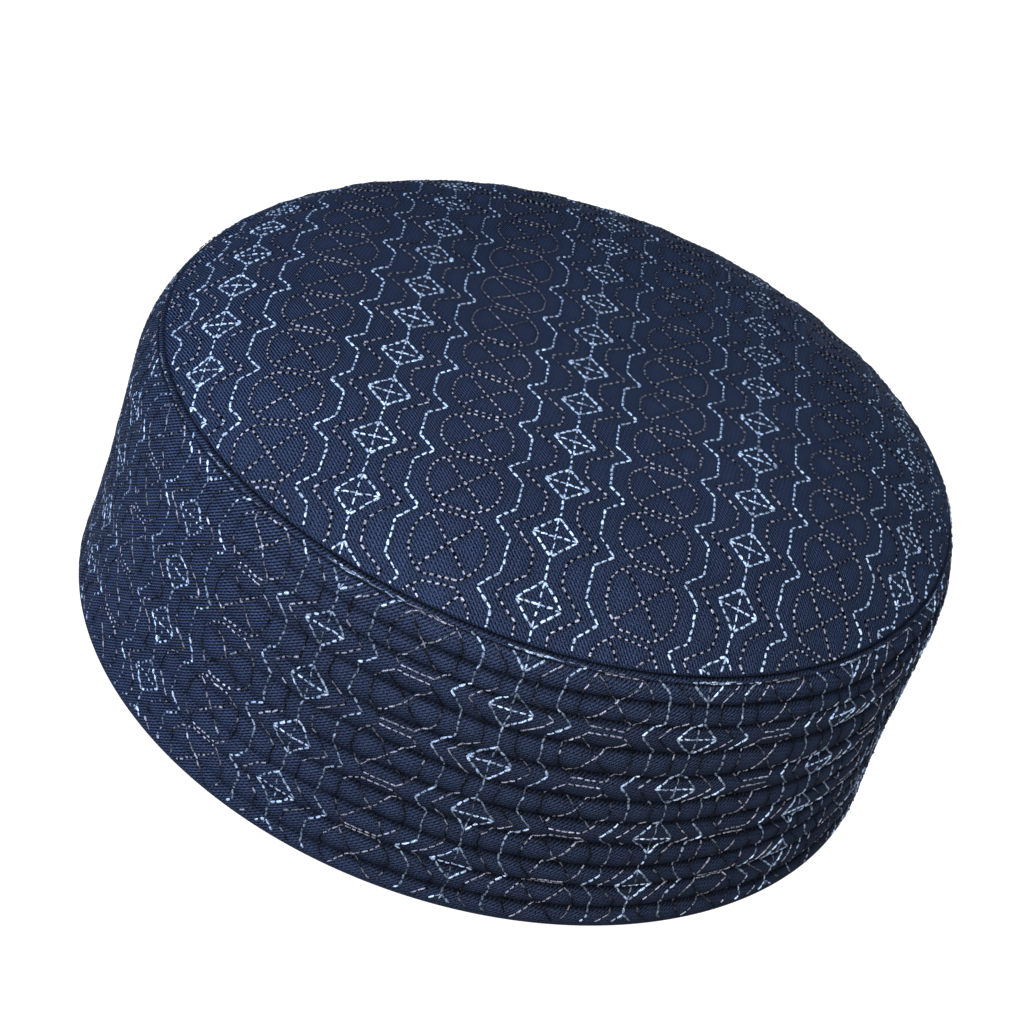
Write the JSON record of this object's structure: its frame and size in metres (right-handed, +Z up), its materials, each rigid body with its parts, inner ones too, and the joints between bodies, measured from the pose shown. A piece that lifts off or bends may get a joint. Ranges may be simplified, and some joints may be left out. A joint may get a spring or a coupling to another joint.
{
  "type": "prayer cap",
  "caption": "Round brimless prayer cap with a stiff, gently domed crown sewn to an upright side band quilted in level channels, open below for the head.",
  "frame": {"origin": "middle of the rim, on the surface the cap rests on", "axes": "+Z up through the crown, -Y towards the cap's front as pictured, +X to the right"},
  "size_m": [0.1867, 0.1876, 0.0785],
  "materials": {
    "crown_cloth": "navy twill, machine embroidered in light blue and grey thread",
    "band_cloth": "the same navy twill, padded and quilted in level channels"
  },
  "bodies": {
    "root": {"crown_top": "crown_cloth", "side_band": "band_cloth"}
  },
  "joints": []
}
